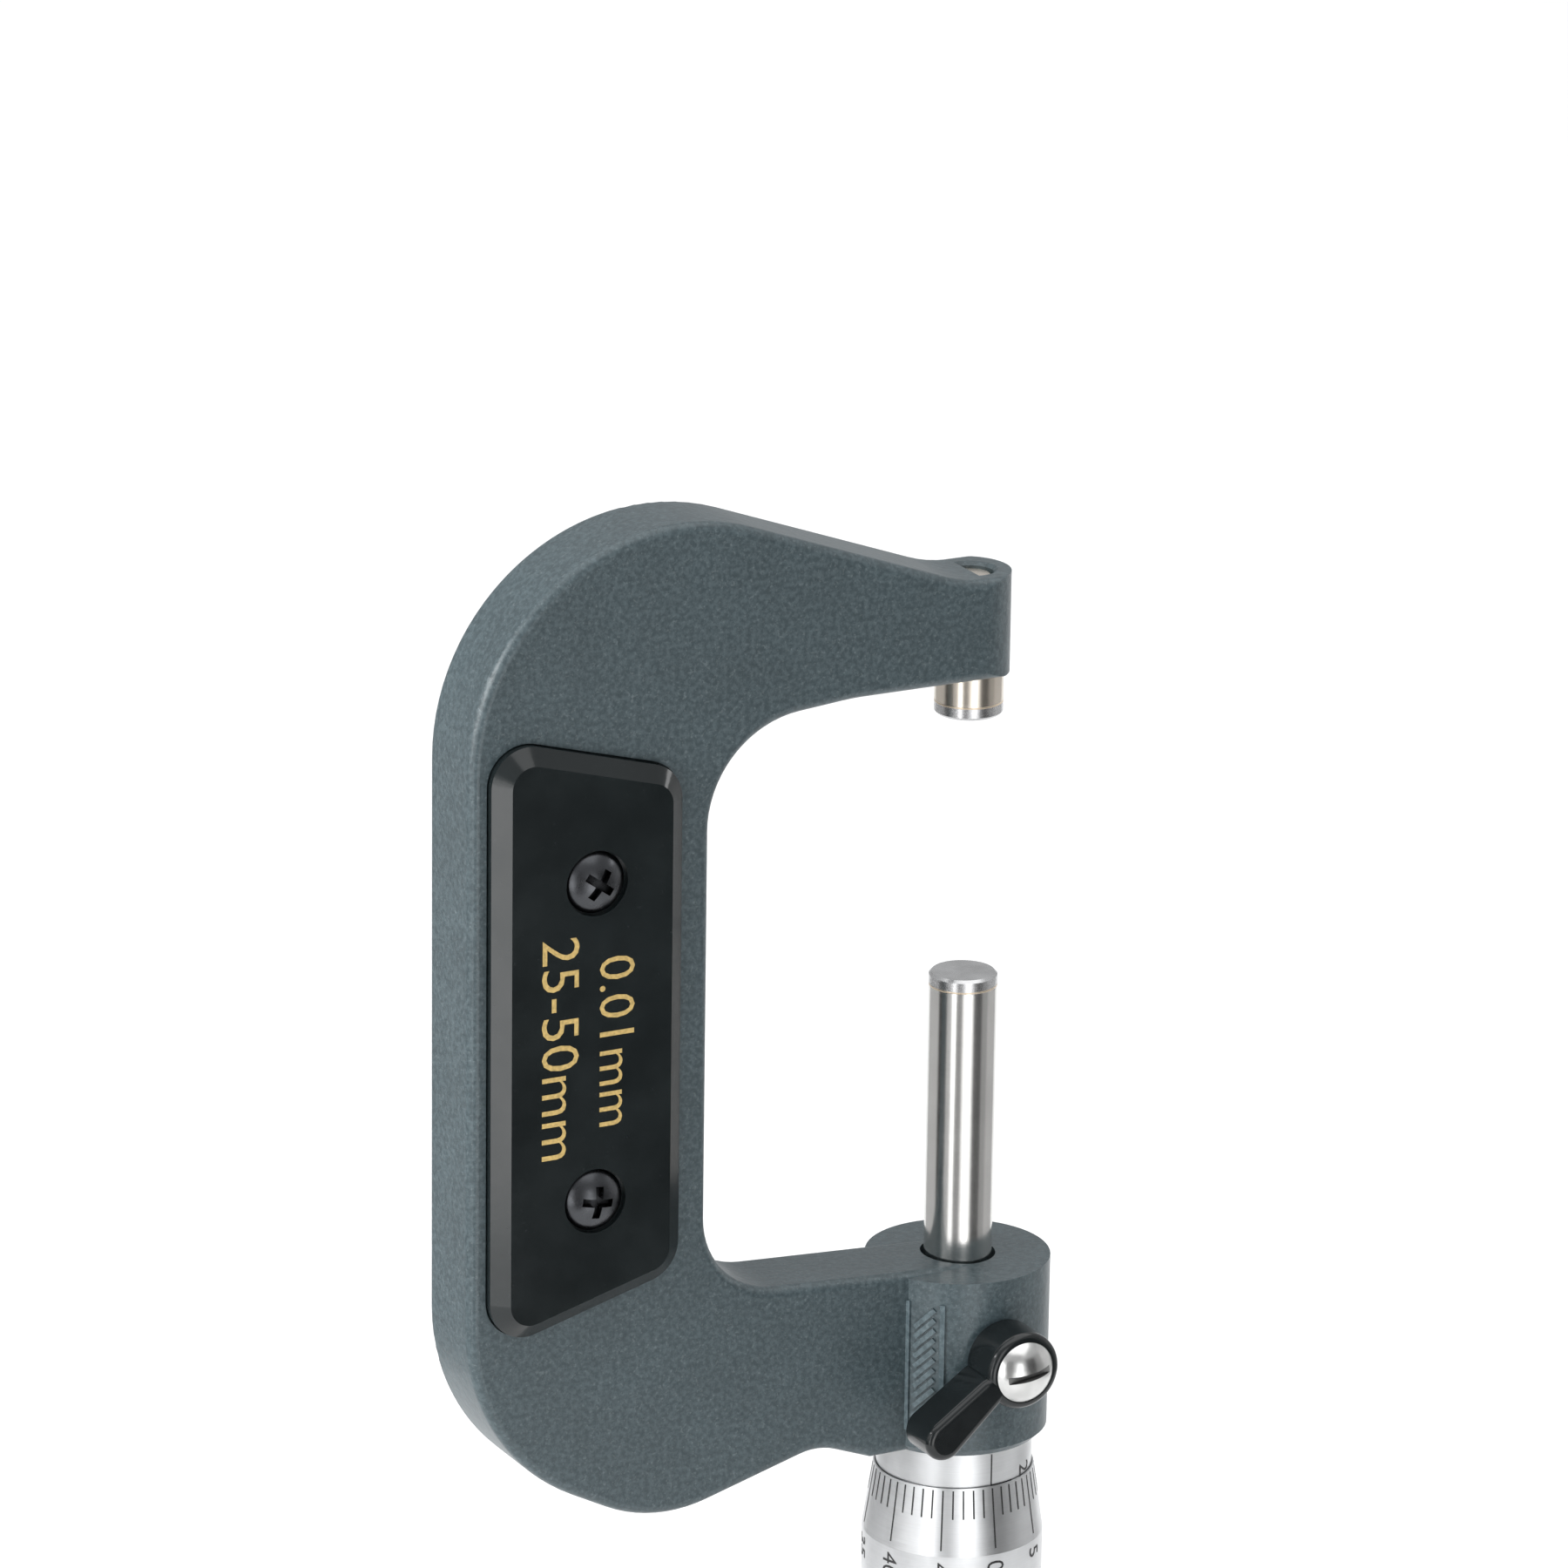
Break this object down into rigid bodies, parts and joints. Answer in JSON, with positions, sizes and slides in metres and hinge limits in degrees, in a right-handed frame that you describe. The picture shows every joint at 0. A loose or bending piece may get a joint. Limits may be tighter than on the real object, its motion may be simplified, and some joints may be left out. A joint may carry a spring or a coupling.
{
  "type": "outside micrometer",
  "caption": "Outside micrometer with a C-shaped frame, cover plates, fixed anvil, screw-driven spindle, graduated thimble, ratchet stop and spindle clamp lever.",
  "frame": {"origin": "centre of the anvil's measuring face", "axes": "+Z along the measuring axis, from the spindle to the anvil; -Y towards the clamp lever's side; -X towards the back of the C-shaped frame; at rest the screw is fully closed and reads 25.00 mm"},
  "size_m": [0.0612, 0.0232, 0.1548],
  "materials": {
    "frame_paint": "grey hammertone stove enamel, fine speckle",
    "black_plate": "glossy black with gold printed range and reading",
    "black_screws": "blackened steel",
    "ground_steel": "ground and polished hardened steel",
    "carbide": "lapped carbide",
    "satin_chrome": "satin chrome, black engraved graduations",
    "inner_steel": "turned steel",
    "spring_steel": "drawn wire",
    "bright_screws": "polished plated steel",
    "lever_black": "glossy black enamel"
  },
  "bodies": {
    "frame_body": {"frame": "frame_paint", "anvil": "ground_steel", "anvil_tip": "carbide", "front_cover_plate": "black_plate", "rear_cover_plate": "black_plate", "front_plate_screws": "black_screws", "rear_plate_screws": "black_screws", "guide_bush": "inner_steel", "clamp_ring": "inner_steel", "barrel": "inner_steel", "graduated_sleeve": "satin_chrome", "adjusting_nut": "inner_steel"},
    "spindle_carriage": {"spindle_tip": "carbide"},
    "thimble_body": {"spindle": "ground_steel", "thimble_hub": "inner_steel", "thimble": "satin_chrome", "ratchet_arbor": "inner_steel", "ratchet_spring": "spring_steel", "ratchet_washer": "inner_steel", "ratchet_end_screw": "bright_screws"},
    "pawl_body": {"ratchet_pawl": "inner_steel"},
    "knob_body": {"ratchet_knob": "satin_chrome"},
    "clamp_lever_body": {"clamp_lever": "lever_black", "clamp_stud": "inner_steel", "clamp_plunger": "inner_steel", "clamp_lever_screw": "bright_screws"}
  },
  "joints": [
    {"name": "spindle_travel", "type": "slide", "parent": "frame_body", "child": "spindle_carriage", "axis": [0, 0, -1], "range_m": [0, 0.025]},
    {"name": "thimble_turn", "type": "hinge", "parent": "spindle_carriage", "child": "thimble_body", "pos_m": [0, 0, -0.1], "axis": [0, 0, -1], "range_deg": [0, 18000]},
    {"name": "ratchet_turn", "type": "hinge", "parent": "thimble_body", "child": "knob_body", "pos_m": [0, 0, -0.125], "axis": [0, 0, -1], "continuous": true},
    {"name": "pawl_lift", "type": "slide", "parent": "thimble_body", "child": "pawl_body", "axis": [0, 0, 1], "range_m": [0, 0.0006], "stiffness_N_per_m": 100, "deforming": ["ratchet_spring"]},
    {"name": "clamp_turn", "type": "hinge", "parent": "frame_body", "child": "clamp_lever_body", "pos_m": [0, -0.011, -0.06005], "axis": [0, 1, 0], "range_deg": [0, 45]}
  ],
  "couplings": [
    {"joint": "thimble_turn", "follows": "spindle_travel", "rad_per_m": 12566}
  ]
}
